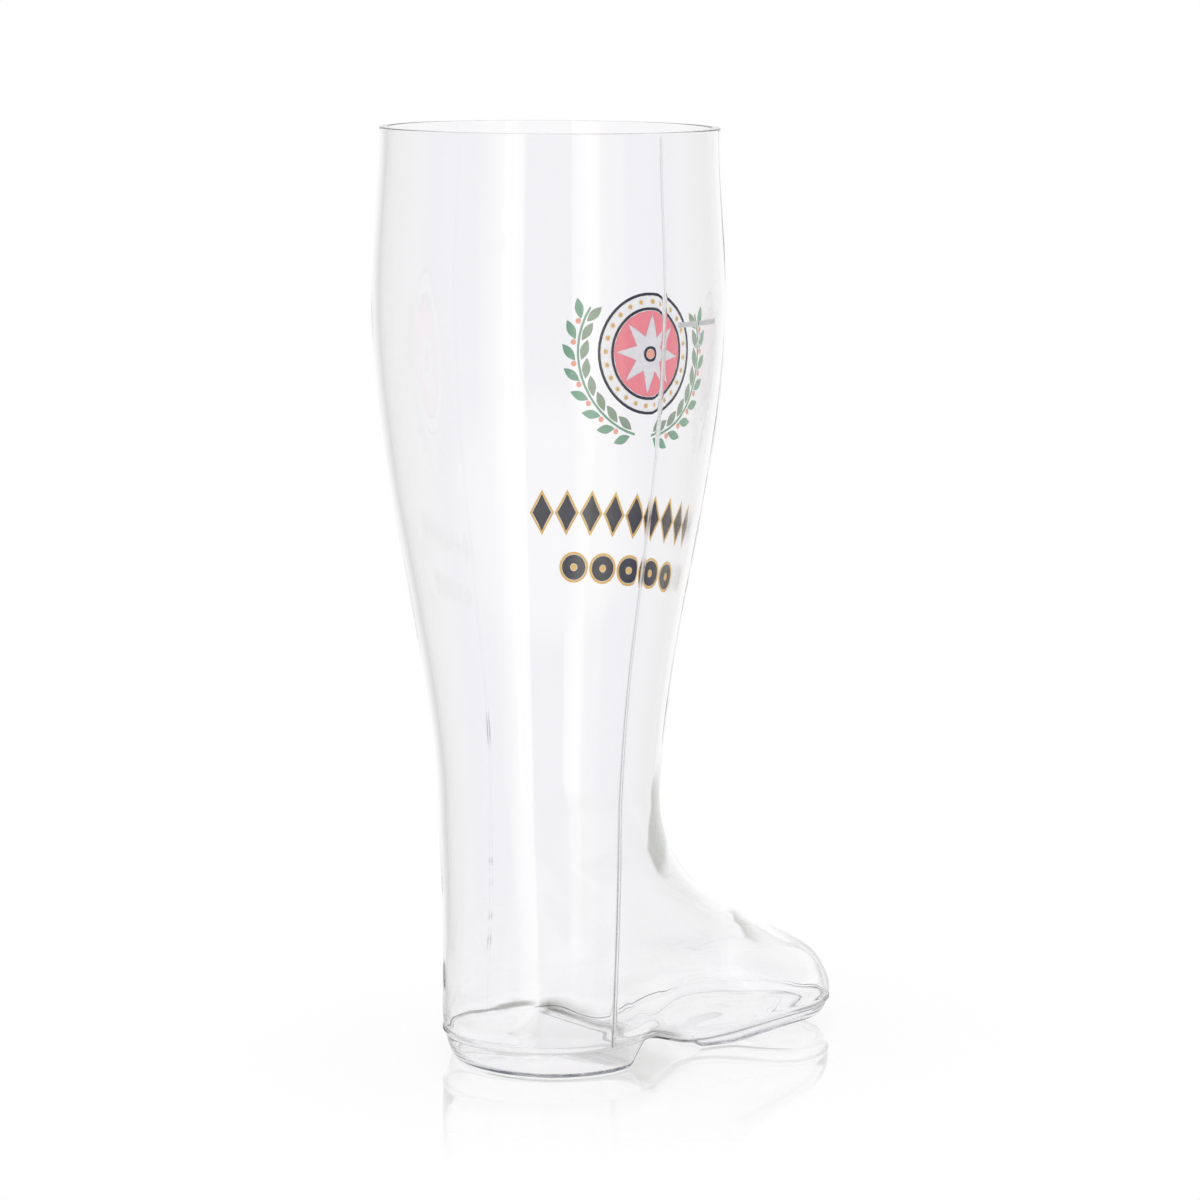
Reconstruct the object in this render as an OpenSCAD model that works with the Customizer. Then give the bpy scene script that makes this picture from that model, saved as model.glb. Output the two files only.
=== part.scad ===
/* [Leg] */
// Height from the table to the top of the rim
boot_h = 345; // [320:1:380]
// Outer diameter at the rim
rim_d = 124; // [116:0.5:128]
// Outer diameter of the belly, the widest place of the leg
belly_d = 130.5; // [128:0.5:140]
// Height of the belly above the table
belly_z = 284; // [260:1:300]
// Outer diameter of the ankle, the narrowest place of the leg
ankle_d = 81.5; // [78:0.5:88]
// Height of the ankle above the table
ankle_z = 84; // [76:1:94]
// Height at which the instep has run out into the round leg
instep_z = 100; // [96:1:112]
// Thickness of the blown wall, also the thickness of the round rim
wall = 3.2; // [2.6:0.1:4]

/* [Foot] */
// Length from the back of the heel to the tip of the toe
foot_len = 166; // [155:1:180]
// Distance from the leg's axis to the back of the heel
heel_back = 38; // [36:0.5:42]
// Width across the heel
heel_w = 80; // [76:0.5:86]
// Width across the waist of the sole
waist_w = 57; // [52:0.5:64]
// Width across the ball of the foot
ball_w = 76; // [70:0.5:80]
// Thickness of the glass of the sole
floor_t = 3; // [2.5:0.25:5]

/* [Sole] */
// Height of the sole edge round the heel
heel_h = 9.8; // [8:0.1:12]
// Height of the sole edge where it dips behind the ball
dip_h = 3.7; // [3.2:0.1:5]
// Height of the sole edge at the toe
toe_h = 9.8; // [8:0.1:12]
// Height of the side of the front sole
slab_t = 5.2; // [4.6:0.1:6]
// Distance from the leg's axis to the heel's front face, at the table
breast_x = 12; // [8:0.5:16]
// Distance that the heel's front face leans forward over its height
breast_lean = 8; // [5:0.5:10]
// Distance from the leg's axis to the back of the front sole
slab_x = 52; // [50:0.5:56]

/* [Print] */
// Turn of the print's middle from the toe, to the far side
print_turn = 15; // [-30:1:30]
// Outer diameter of the medallion
medal_d = 46; // [40:0.5:50]
// Height of the medallion's middle above the table
medal_z = 258; // [250:1:262]
// Length of the upper band of lozenges, round the leg
band_len = 88; // [60:1:100]
// Height of the upper band of lozenges
band_h = 17; // [12:0.5:20]
// Length of the lower row of discs, round the leg
row_len = 60; // [40:1:70]
// Diameter of each disc in the lower row
disc_d = 11.5; // [8:0.5:12]
// Thickness of each coat of fired enamel
ink_t = 0.15; // [0.1:0.01:0.2]
// Length of the fill line
mark_len = 24; // [16:1:30]
// Height of the fill line above the table
mark_z = 277; // [265:1:290]

/* [Hidden] */

rim_r = rim_d / 2;
belly_r = belly_d / 2;
ankle_r = ankle_d / 2;
toe_x = foot_len - heel_back;
lip_z = boot_h - wall / 2;

// Rows of the foot, from the sole edge up to the instep's end, as shares of: the rise from the
// sole edge to there, the toe's reach past the leg, the waist's width and the ball's width. Then how
// blunt the front is, and how far the row has turned into the ankle's round.
foot_shares = [
    [0.00, 1.000, 1.00, 0.98, 0.70, 0.00],
    [0.05, 0.995, 1.02, 1.00, 0.70, 0.00],
    [0.11, 0.970, 1.04, 1.00, 0.68, 0.00],
    [0.18, 0.937, 1.07, 0.91, 0.62, 0.00],
    [0.25, 0.823, 1.10, 0.77, 0.50, 0.10],
    [0.32, 0.678, 1.13, 0.75, 0.38, 0.20],
    [0.40, 0.520, 1.15, 0.77, 0.26, 0.35],
    [0.50, 0.342, 1.16, 0.84, 0.14, 0.60],
    [0.62, 0.184, 1.19, 0.90, 0.05, 0.85],
    [0.76, 0.070, 1.20, 1.00, 0.00, 1.00],
    [0.88, 0.015, 1.20, 1.00, 0.00, 1.00],
    [1.00, 0.000, 1.20, 1.00, 0.00, 1.00],
];
// Rises at which the shell has a ring in the foot, and steps from there to the rim
foot_ring_shares = [
    0, 0.025, 0.055, 0.09, 0.13, 0.17, 0.21, 0.25, 0.29, 0.34, 0.40, 0.46, 0.53, 0.61, 0.70, 0.80, 0.90
];
leg_steps = 16;
// Where the waist and the ball lie along the front half of a row
waist_share = 0.33;
ball_share = 0.72;
// Points of a row: round the toe, from the ball back to the leg's axis, and round the heel
toe_steps = 9;
heel_steps = 14;
blunt_turn_share = 0.7;
arch_x = breast_x + breast_lean;
// Run of the slope at the back of the front sole
slab_step = 2;
sole_blunt_share = foot_shares[0][4];
toe_straight_x = toe_x * sole_blunt_share;
toe_turn_share = toe_turn(sole_blunt_share);
side_x = concat(
    [for (i = [1:5]) slab_x + (toe_straight_x - slab_x) * (1 - i / 6)],
    [slab_x, slab_x - slab_step],
    [for (i = [1:4]) arch_x + (slab_x - slab_step - arch_x) * (1 - i / 5)],
    [arch_x, breast_x, breast_x / 2]
);
turn_shares = concat(
    [for (i = [0:toe_steps]) toe_turn_share * i / toe_steps],
    [for (x = side_x) 1 - (1 - toe_turn_share) * x / toe_straight_x],
    [1]
);
front_count = len(turn_shares);
half_count = front_count + heel_steps - 1;

// Run past the straight side over which the sole edge still rises
toe_run = 9;
// Drop of the underside below the sole edge in the arch
arch_drop = 1.7;
// Depth below the table at which the soles are formed before they are cut flat
flat_cut = 0.5;
// How far the sole's side draws in from its edge, and its form as shares of inset and height
sole_inset = 3.6;
sole_side_shares = [[1, 0], [0.66, 0.12], [0.42, 0.45], [0.24, 0.86]];
// Lowest inner ring, as a share of the foot's rise, and the round from there to the floor
inner_start = 3;
floor_round = 5;
floor_shares = [0.3, 0.6, 0.85, 0.96, 1];
// Run over which the inner floor falls from the arch into the front sole
floor_run = 8;
rim_steps = 6;

function mix(a, b, t) = a + (b - a) * t;
function clamp(t) = min(1, max(0, t));
function smooth(t) = let (c = clamp(t)) c * c * (3 - 2 * c);
function hermite(a, b, slope_a, slope_b, run, t) =
    (2 * t * t * t - 3 * t * t + 1) * a + (t * t * t - 2 * t * t + t) * run * slope_a
    + (3 * t * t - 2 * t * t * t) * b + (t * t * t - t * t) * run * slope_b;

// Value of one column of a table at a share, on a smooth curve through its rows
function row_of(rows, share, i = 0) =
    i >= len(rows) - 2 || share < rows[i + 1][0] ? i : row_of(rows, share, i + 1);
function slope_of(rows, col, i) =
    let (a = rows[max(0, i - 1)], b = rows[min(len(rows) - 1, i + 1)])
    (b[col] - a[col]) / (b[0] - a[0]);
function through(rows, share, col) =
    let (i = row_of(rows, share), run = rows[i + 1][0] - rows[i][0])
    hermite(
        rows[i][col], rows[i + 1][col], slope_of(rows, col, i), slope_of(rows, col, i + 1),
        run, (share - rows[i][0]) / run
    );

// Outer radius of the leg at a height over the ankle
function leg_r(z) = z < belly_z
    ? mix(ankle_r, belly_r, smooth((z - ankle_z) / (belly_z - ankle_z)))
    : mix(belly_r, rim_r, smooth((z - belly_z) / (lip_z - belly_z)));

// Height of one ring of the leg, and the radius of the flat faces between two such rings
function leg_step_z(i) = mix(instep_z, lip_z, i / leg_steps);
function skin_r(z) =
    let (
        i = floor(leg_steps * (z - instep_z) / (lip_z - instep_z)),
        low = leg_step_z(i),
        high = leg_step_z(i + 1)
    )
    mix(leg_r(low), leg_r(high), (z - low) / (high - low));

// Height of the sole edge, of the underside and of the inner floor at a place along the foot
waist_start_x = breast_x + breast_lean + arch_drop;
function edge_z(x) = x < slab_x - slab_step
    ? mix(heel_h, dip_h, smooth((x - waist_start_x) / (slab_x - slab_step - waist_start_x)))
    : mix(dip_h, toe_h, smooth((x - slab_x + slab_step) / (toe_straight_x + toe_run - slab_x)));
function under_z(x) =
    x <= breast_x ? -flat_cut
    : x >= slab_x ? max(-flat_cut, edge_z(x) - slab_t)
    : edge_z(x) - arch_drop;
function floor_z(x) = floor_t + (
    x < arch_x
    ? (heel_h - arch_drop) * smooth((x - breast_x + floor_t) / breast_lean)
    : mix(edge_z(x) - arch_drop, max(0, edge_z(x) - slab_t), smooth((x - slab_x + floor_run) / floor_run))
);

// Share of the turn that the round toe takes, for a blunt share
function toe_turn(blunt) = 1 - blunt_turn_share * blunt;
// Half width along the front half of a row
function half_w(u, side, waist, ball) = u < waist_share
    ? hermite(side, waist, 0, (ball - side) / ball_share, waist_share, u / waist_share)
    : u < ball_share
    ? hermite(
        waist, ball, (ball - side) / ball_share, 0,
        ball_share - waist_share, (u - waist_share) / (ball_share - waist_share)
    )
    : ball;
function front_point(reach, side, waist, ball, blunt, turn) =
    let (
        round_turn = toe_turn(blunt),
        angle = 90 * min(1, turn / round_turn),
        on_toe = turn <= round_turn,
        u = on_toe ? mix(blunt, 1, cos(angle)) : blunt * (1 - turn) / (1 - round_turn)
    )
    [reach * u, half_w(u, side, waist, ball) * (on_toe ? sin(angle) : 1)];
// One row of the foot: half of its points, from the toe to the back of the heel
function foot_half(share) =
    let (
        m = through(foot_shares, share, 5),
        back = mix(heel_back, leg_r(instep_z), share * smooth(share)),
        side = mix(heel_w / 2, leg_r(instep_z), smooth(share)),
        reach = mix(leg_r(instep_z), toe_x, through(foot_shares, share, 1)),
        waist = mix(waist_w / 2 * through(foot_shares, share, 2), side, m),
        ball = mix(ball_w / 2 * through(foot_shares, share, 3), side, m),
        blunt = max(0, through(foot_shares, share, 4))
    )
    concat(
        [for (turn = turn_shares) front_point(reach, side, waist, ball, blunt, turn)],
        [for (i = [1:heel_steps]) let (a = 90 + 90 * i / heel_steps) [back * cos(a), side * sin(a)]]
    );
function mirrored(half) =
    concat(half, [for (i = [len(half) - 2:-1:1]) [half[i][0], -half[i][1]]]);
// Rise of a foot row follows the sole edge low down and is level higher up
edge_fade_share = 0.2;
edge_fade_power = 1.5;
function foot_ring(share) = [
    for (p = mirrored(foot_half(share)))
    let (fade = pow(clamp(1 - share / edge_fade_share), edge_fade_power))
    [p[0], p[1], mix(heel_h, instep_z, share) + (edge_z(p[0]) - heel_h) * fade]
];
function leg_ring(z) =
    [for (p = mirrored(foot_half(1))) leg_r(z) / leg_r(instep_z) * [p[0], p[1], 0] + [0, 0, z]];

function unit(v) = v / norm(v);
function at(ring, k) = ring[(k + len(ring)) % len(ring)];
outer = concat(
    [for (s = foot_ring_shares) foot_ring(s)],
    [for (i = [0:leg_steps]) leg_ring(leg_step_z(i))]
);
top = len(outer) - 1;
// A ring set inward from an outer ring, square to the surface
function inner_ring(i) = [
    for (k = [0:len(outer[i]) - 1])
    let (
        along = at(outer[i], k + 1) - at(outer[i], k - 1),
        up = i == top ? [0, 0, 1] : outer[i + 1][k] - outer[max(0, i - 1)][k]
    )
    outer[i][k] - wall * unit(cross(along, up))
];
// A ring set in sideways by a distance from another, at heights of its own
function inset_point(ring, k, inset) =
    let (along = at(ring, k + 1) - at(ring, k - 1), side = unit([along[1], -along[0]]))
    [ring[k][0] - inset * side[0], ring[k][1] - inset * side[1]];
function sole_ring(inset_s, height_s) = [
    for (k = [0:len(outer[0]) - 1])
    let (p = inset_point(outer[0], k, sole_inset * inset_s), low = under_z(outer[0][k][0]))
    [p[0], p[1], mix(low, outer[0][k][2], height_s)]
];
function floor_ring(start, share) = [
    for (k = [0:len(start) - 1])
    let (
        p = inset_point(start, k, floor_round * (1 - sqrt(1 - share * share))),
        low = floor_z(start[k][0])
    )
    [p[0], p[1], mix(start[k][2], low, share)]
];
function rim_ring(angle) =
    let (r = rim_r - wall / 2 + wall / 2 * cos(angle), z = lip_z + wall / 2 * sin(angle))
    [for (p = outer[top]) r / rim_r * [p[0], p[1], 0] + [0, 0, z]];

rings = concat(
    [for (s = sole_side_shares) sole_ring(s[0], s[1])],
    outer,
    [for (i = [1:rim_steps - 1]) rim_ring(180 * i / rim_steps)],
    [for (i = [top:-1:inner_start]) inner_ring(i)],
    [for (s = floor_shares) floor_ring(inner_ring(inner_start), s)]
);
count = len(outer[0]);
last = (len(rings) - 1) * count;
// Two triangles between neighbouring points of two rings, and the strips across the two ends
side_faces = [
    for (i = [0:len(rings) - 2], k = [0:count - 1])
    let (a = i * count + k, b = i * count + (k + 1) % count)
    each [[a, a + count, b + count], [a, b + count, b]]
];
function across(k) = (count - k) % count;
under_faces = [
    for (k = [0:half_count - 1])
    each [
        if (k > 0) [k, k + 1, across(k)],
        if (k < half_count - 1) [k + 1, across(k + 1), across(k)]
    ]
];
floor_faces = [
    for (k = [0:half_count - 1])
    each [
        if (k > 0) [last + k, last + across(k), last + k + 1],
        if (k < half_count - 1) [last + k + 1, last + across(k), last + across(k + 1)]
    ]
];

// Enamel: its gap over the glass and over another coat, and the gap between two inks side by side
ink_lift = 0.1;
coat_gap = 0.04;
ink_gap = 0.15;
tip_w = 0.3;

// Medallion: its dark lines, white ring, beads and star, from the outside inward
line_w = 1.1;
white_w = 4.4;
bead_d = 1.8;
bead_count = 24;
star_margin = 1.4;
star_tips = 8;
star_waist_share = 0.46;
eye_d = 6;
medal_r = medal_d / 2;
white_r = medal_r - line_w;
inner_line_r = white_r - white_w;
red_r = inner_line_r - line_w;
star_r = red_r - star_margin;
ring_steps = 48;
// Rows of a round spot, by its size, and the angle from its lowest point at which the first row lies
eye_steps = 6;
dot_steps = 5;
bead_steps = 4;
dot_cap = 15;

// Wreath: two branches round the medallion, open at the top, with angles from straight down
wreath_gap = 8;
wreath_r = medal_r + wreath_gap;
wreath_from = 8;
wreath_to = 122;
stem_w = 0.9;
leaf_len = 7.8;
leaf_w = 3.5;
leaf_count = 8;
leaf_tilt = 34;
leaf_tuck = 24;
leaf_steps = 5;
leaf_place_share = 0.3;
berry_place_share = 0.15;
berry_d = 2.2;
berry_side = 2;

// Bands under the medallion
band_drop = 26.5;
band_z = medal_z - wreath_r - leaf_w - band_drop;
band_count = 9;
band_pitch = band_len / band_count;
gold_w = 0.9;
frame_w = band_pitch - 2 * ink_gap;
frame_steps = 3;
lozenge_share = 1 - 2 * (gold_w + ink_gap) / frame_w;
lozenge_steps = 3;
row_drop = 6;
row_count = 5;
row_pitch = row_len / row_count;
row_z = band_z - band_h / 2 - disc_d / 2 - row_drop;
disc_bead_d = 2.6;
disc_field_w = disc_d / 2 - gold_w - disc_bead_d / 2 - 2 * ink_gap;
disc_ring_steps = 24;

// Fill line and its number
mark_turn = -72;
mark_t = 1.9;
mark_break = 1.2;
mark_steps = 4;
digit_h = 5.4;
digit_w = 3.4;
digit_t = 0.8;
digit_drop = 2;
digit_start = 170;
digit_hook = 200;
digit_steps = 6;

// A place on a coat of enamel: p is measured round the leg and up from the print's middle
function on_leg(turn, z, p, lift) =
    let (a = turn + p[0] / leg_r(z) * 180 / PI, h = z + p[1], r = skin_r(h) + lift)
    [r * cos(a), r * sin(a), h];

// One patch of enamel. Its rows run from left to right and each row lies above the last, or the
// rows run round a closed ring from the inside outward. coat is 0 on the glass and 1 on an ink.
module patch(turn, z, rows, closed = false, coat = 0) {
    n = len(rows);
    m = len(rows[0]);
    low = ink_lift + coat * (ink_t + coat_gap);
    steps = closed ? n : n - 1;
    // Quads of the front and back, then of the two long sides, then of the two ends
    cells = [for (i = [0:steps - 1], j = [0:m - 2]) let (k = (i + 1) % n) [i * m + j, k * m + j]];
    long = [for (i = [0:steps - 1]) [i * m, (i + 1) % n * m]];
    front = n * m;
    polyhedron(
        points = [for (lift = [low, low + ink_t], row = rows, p = row) on_leg(turn, z, p, lift)],
        faces = concat(
            [for (c = cells) each quad(c[0] + front, c[1] + front, c[1] + front + 1, c[0] + front + 1)],
            [for (c = cells) each quad(c[0], c[0] + 1, c[1] + 1, c[1])],
            [for (c = long) each quad(c[0], c[1], c[1] + front, c[0] + front)],
            [for (c = long) each
                quad(c[0] + m - 1, c[0] + m - 1 + front, c[1] + m - 1 + front, c[1] + m - 1)],
            [if (!closed) for (j = [0:m - 2]) each quad(j, j + front, j + 1 + front, j + 1)],
            [if (!closed) for (j = [0:m - 2]) let (e = (n - 1) * m + j) each
                quad(e, e + 1, e + 1 + front, e + front)]
        )
    );
}
function quad(a, b, c, d) = [[a, b, c], [a, c, d]];

// Rows of the flat shapes that the print is made of
function spun(p, a) = [p[0] * cos(a) - p[1] * sin(a), p[0] * sin(a) + p[1] * cos(a)];
function moved(rows, a, place) = [for (row = rows) [for (p = row) spun(p, a) + place]];
function span_rows(ends) = [for (e = ends) [e[0], (e[0] + e[1]) / 2, e[1]]];
function dot_rows(r, steps) = [
    for (i = [0:steps])
    let (a = mix(dot_cap, 180 - dot_cap, i / steps))
    [[-r * sin(a), -r * cos(a)], [r * sin(a), -r * cos(a)]]
];
function ring_rows(outer_r, width, steps = ring_steps) = [
    for (i = [0:steps - 1])
    let (way = spun([1, 0], 360 * i / steps))
    [(outer_r - width) * way, outer_r * way]
];
function lozenge_rows(w, h) = span_rows([
    for (i = [-lozenge_steps:lozenge_steps])
    let (half = max(tip_w / 2, w / 2 * (1 - abs(i) / lozenge_steps)), up = h / 2 * i / lozenge_steps)
    [[-half, up], [half, up]]
]);
// Frame of a lozenge, as a closed ring from its right corner round
function frame_rows(w, h, width) = [
    for (i = [0:4 * frame_steps - 1])
    let (
        corners = [[w / 2, 0], [0, h / 2], [-w / 2, 0], [0, -h / 2], [w / 2, 0]],
        k = floor(i / frame_steps),
        p = mix(corners[k], corners[k + 1], i / frame_steps - k)
    )
    [(1 - 2 * width / w) * p, p]
];
function leaf_rows() = [
    for (i = [0:leaf_steps])
    let (share = i / leaf_steps, x = leaf_len * share, half = mix(tip_w, leaf_w, sin(180 * share)) / 2)
    [[x, half], [x, -half]]
];
function box_rows(w, h, steps) =
    [for (i = [0:steps]) let (x = mix(-w / 2, w / 2, i / steps)) [[x, h / 2], [x, -h / 2]]];
// Outline of the star at every point and half way between, from the point at its right
function star_point(i, r) =
    let (
        corner = function (k) spun([r * (k % 2 == 0 ? 1 : star_waist_share), 0], 180 / star_tips * k),
        k = floor(i / 2)
    )
    i % 2 == 0 ? corner(k) : (corner(k) + corner(k + 1)) / 2;
function star_rows(star, inner_r, outer_r) = [
    for (i = [0:4 * star_tips - 1])
    let (
        p = star_point(i, star),
        a = inner_r > 0 ? inner_r * unit(p) : p,
        b = outer_r > 0 ? outer_r * unit(p) : p
    )
    [a, (a + b) / 2, b]
];

// Where the repeated motifs stand
module leaves(outside)
    for (side = [-1, 1], i = [0:leaf_count - 1]) {
        a = -90 + side * mix(wreath_from, wreath_to, (i + leaf_place_share) / leaf_count);
        way = a + side * (90 - (outside > 0 ? leaf_tilt : -leaf_tuck));
        root = (wreath_r + outside * (stem_w / 2 + leaf_w / 4)) * [cos(a), sin(a)];
        patch(print_turn, medal_z, moved(leaf_rows(), way, root));
    }
module stem(side)
    patch(print_turn, medal_z, [
        for (i = [0:2 * leaf_count])
        let (
            a = -90 + side * mix(wreath_from, wreath_to, i / leaf_count / 2),
            way = [cos(a), sin(a)],
            near = (wreath_r - side * stem_w / 2) * way,
            far = (wreath_r + side * stem_w / 2) * way
        )
        [near, far]
    ]);
module band(rows, closed = false)
    for (i = [0:band_count - 1])
        patch(band_turn(i, band_count, band_pitch, band_z), band_z, rows, closed);
module disc_row(rows, closed = false)
    for (i = [0:row_count - 1])
        patch(band_turn(i, row_count, row_pitch, row_z), row_z, rows, closed);
function band_turn(i, count, pitch, z) =
    print_turn + (i - (count - 1) / 2) * pitch / leg_r(z) * 180 / PI;

module boot_glass() {
    color([0.90, 0.93, 0.94, 0.35])
    difference() {
        polyhedron(
            points = [for (ring = rings) each ring],
            faces = concat(under_faces, side_faces, floor_faces),
            convexity = 8
        );
        translate([-heel_w, -heel_w, -heel_h])
            cube([foot_len + 2 * heel_w, 2 * heel_w, heel_h]);
    }
}

module medallion_red()
    color("crimson")
    patch(print_turn, medal_z, star_rows(star_r + 2 * ink_gap, 0, red_r - ink_gap), closed = true);

module ring_white()
    color("white")
    patch(print_turn, medal_z, ring_rows(white_r - ink_gap, white_w - 2 * ink_gap), closed = true);

module star_silver()
    color("silver")
    patch(print_turn, medal_z, star_rows(star_r, eye_d / 2 + ink_gap, 0), closed = true);

module outline_black()
    color("black") {
        patch(print_turn, medal_z, ring_rows(medal_r, line_w), closed = true);
        patch(print_turn, medal_z, ring_rows(inner_line_r, line_w), closed = true);
        patch(print_turn, medal_z, ring_rows(eye_d / 2, line_w, disc_ring_steps), closed = true);
        band(lozenge_rows(lozenge_share * frame_w, lozenge_share * band_h));
        disc_row(ring_rows(disc_d / 2 - gold_w - ink_gap, disc_field_w, disc_ring_steps), closed = true);
    }

module leaves_dark_green()
    color("darkgreen") {
        leaves(1);
        for (side = [-1, 1])
            stem(side);
    }

module leaves_light_green()
    color("yellowgreen")
    leaves(-1);

module berries_orange()
    color("darkorange") {
        patch(print_turn, medal_z, dot_rows(eye_d / 2 - line_w - ink_gap, eye_steps));
        for (side = [-1, 1], i = [1:leaf_count - 1]) {
            a = -90 + side * mix(wreath_from, wreath_to, (i + berry_place_share) / leaf_count);
            place = (wreath_r + berry_side) * [cos(a), sin(a)];
            patch(print_turn, medal_z, moved(dot_rows(berry_d / 2, dot_steps), 0, place));
        }
    }

module border_gold()
    color("goldenrod") {
        for (i = [0:bead_count - 1]) {
            place = spun([white_r - white_w / 2, 0], 360 * i / bead_count);
            patch(print_turn, medal_z, moved(dot_rows(bead_d / 2, bead_steps), 0, place), coat = 1);
        }
        band(frame_rows(frame_w, band_h, gold_w), closed = true);
        disc_row(ring_rows(disc_d / 2, gold_w, disc_ring_steps), closed = true);
        disc_row(dot_rows(disc_bead_d / 2, dot_steps));
    }

module fill_mark()
    color("lightgray") {
        for (side = [-1, 1])
            patch(
                mark_turn, mark_z,
                moved(
                    box_rows((mark_len - mark_break) / 2, mark_t, mark_steps), 0,
                    [side * (mark_len + mark_break) / 4, 0]
                )
            );
        patch(mark_turn, mark_z, moved(digit_two(), 0, [0, -mark_t / 2 - digit_drop - digit_h]));
    }
// The number 2 as one stroke: its round top, its slant and its foot, standing on its lower edge
function digit_two() =
    let (
        r = (digit_w - digit_t) / 2,
        middle = [0, digit_h - digit_t / 2 - r],
        path = concat(
            [for (i = [0:digit_steps]) middle + r * spun([1, 0], digit_start - digit_hook * i / digit_steps)],
            [[-r, digit_t / 2], [r + digit_t / 2, digit_t / 2]]
        )
    )
    [
        for (i = [0:len(path) - 1])
        let (
            back = unit(path[max(1, i)] - path[max(1, i) - 1]),
            on = unit(path[min(len(path) - 1, i + 1)] - path[min(len(path) - 2, i)]),
            mean = unit(back + on),
            half = digit_t / 2 / (mean * on)
        )
        [path[i] + half * [-mean[1], mean[0]], path[i] - half * [-mean[1], mean[0]]]
    ];

boot_glass();
medallion_red();
ring_white();
star_silver();
outline_black();
leaves_dark_green();
leaves_light_green();
berries_orange();
border_gold();
fill_mark();
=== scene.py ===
"""The looks of the boot glass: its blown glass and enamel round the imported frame, a studio and a camera."""

import math

import bmesh
import bpy
import numpy as np
from mathutils import Matrix, Vector, noise


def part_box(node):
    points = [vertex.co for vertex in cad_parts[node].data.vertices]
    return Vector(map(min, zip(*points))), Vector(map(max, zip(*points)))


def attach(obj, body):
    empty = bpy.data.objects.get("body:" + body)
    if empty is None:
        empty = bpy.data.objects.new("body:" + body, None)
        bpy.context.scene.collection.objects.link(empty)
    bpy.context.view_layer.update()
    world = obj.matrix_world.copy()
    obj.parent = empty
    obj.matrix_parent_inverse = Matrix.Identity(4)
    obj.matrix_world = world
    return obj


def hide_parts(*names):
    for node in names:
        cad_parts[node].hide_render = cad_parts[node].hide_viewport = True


MM = 0.001

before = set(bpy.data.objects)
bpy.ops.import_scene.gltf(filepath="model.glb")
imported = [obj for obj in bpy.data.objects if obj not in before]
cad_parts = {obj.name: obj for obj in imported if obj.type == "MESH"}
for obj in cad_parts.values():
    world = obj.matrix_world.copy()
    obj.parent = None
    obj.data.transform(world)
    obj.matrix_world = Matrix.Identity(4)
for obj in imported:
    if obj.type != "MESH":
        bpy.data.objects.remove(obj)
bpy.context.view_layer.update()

# Sizes of the glass, in millimetres
HIGH = np.array(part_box("boot_glass")[1]) / MM
BOOT_H = HIGH[2]
TOE_X = HIGH[0] - 0.05
SEAM_H_HIGH = 0.25
BELLY_R = HIGH[1] - SEAM_H_HIGH
RIM_R = 62.0
BELLY_Z = 284.0
ANKLE_R = 40.75
ANKLE_Z = 84.0
INSTEP_Z = 100.0
WALL = 3.2
LIP_Z = BOOT_H - WALL / 2
HEEL_BACK = 38.0
HEEL_R = 40.0
WAIST_R = 28.5
BALL_R = 38.0
FLOOR_T = 1.2
HEEL_H = 9.8
DIP_H = 3.7
TOE_H = 9.8
SLAB_T = 5.2
SLAB_X = 52.0
SLAB_STEP = 2.0
BREAST_X = 13.5
BREAST_LEAN = 8.0
ARCH_X = BREAST_X + BREAST_LEAN
ARCH_DROP = 1.7
TOE_RUN = 9.0

# The foot's rows: rise, reach, waist, ball, bluntness and turn into the round ankle, as shares
FOOT_SHARES = np.array([
    (0.00, 1.000, 1.00, 0.98, 0.70, 0.00),
    (0.05, 0.995, 1.02, 1.00, 0.70, 0.00),
    (0.11, 0.970, 1.04, 1.00, 0.68, 0.00),
    (0.18, 0.937, 1.07, 0.91, 0.62, 0.00),
    (0.25, 0.823, 1.10, 0.77, 0.50, 0.10),
    (0.32, 0.678, 1.13, 0.75, 0.38, 0.20),
    (0.40, 0.520, 1.15, 0.77, 0.26, 0.35),
    (0.50, 0.342, 1.16, 0.84, 0.14, 0.60),
    (0.62, 0.184, 1.19, 0.90, 0.05, 0.85),
    (0.76, 0.070, 1.20, 1.00, 0.00, 1.00),
    (0.88, 0.015, 1.20, 1.00, 0.00, 1.00),
    (1.00, 0.000, 1.20, 1.00, 0.00, 1.00),
])
REACH, WAIST, BALL, BLUNTNESS, TURN = range(1, 6)
WAIST_SHARE = 0.33
BALL_SHARE = 0.72
BLUNT_TURN = 0.7
EDGE_FADE = 0.2
EDGE_FADE_POWER = 1.5
TOE_TURN = 1 - BLUNT_TURN * FOOT_SHARES[0, BLUNTNESS]
STRAIGHT_X = TOE_X * FOOT_SHARES[0, BLUNTNESS]


def mix(a, b, t):
    return a + (b - a) * t


def smooth(t):
    t = np.clip(t, 0, 1)
    return t * t * (3 - 2 * t)


def between(x, start, end):
    """0 at the start, 1 at the end and smooth between them; the end may lie below the start."""
    return smooth((x - start) / (end - start))


def hermite(a, b, slope_a, slope_b, run, t):
    return (
        (2 * t**3 - 3 * t**2 + 1) * a + (t**3 - 2 * t**2 + t) * run * slope_a
        + (3 * t**2 - 2 * t**3) * b + (t**3 - t**2) * run * slope_b
    )


def through(share, col):
    """Value of one column of FOOT_SHARES at a share, on a smooth curve through its rows."""
    rows = FOOT_SHARES
    i = int(np.clip(np.searchsorted(rows[:, 0], share, side="right") - 1, 0, len(rows) - 2))

    def slope(k):
        a, b = rows[max(0, k - 1)], rows[min(len(rows) - 1, k + 1)]
        return (b[col] - a[col]) / (b[0] - a[0])

    run = rows[i + 1, 0] - rows[i, 0]
    return hermite(rows[i, col], rows[i + 1, col], slope(i), slope(i + 1), run, (share - rows[i, 0]) / run)


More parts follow.
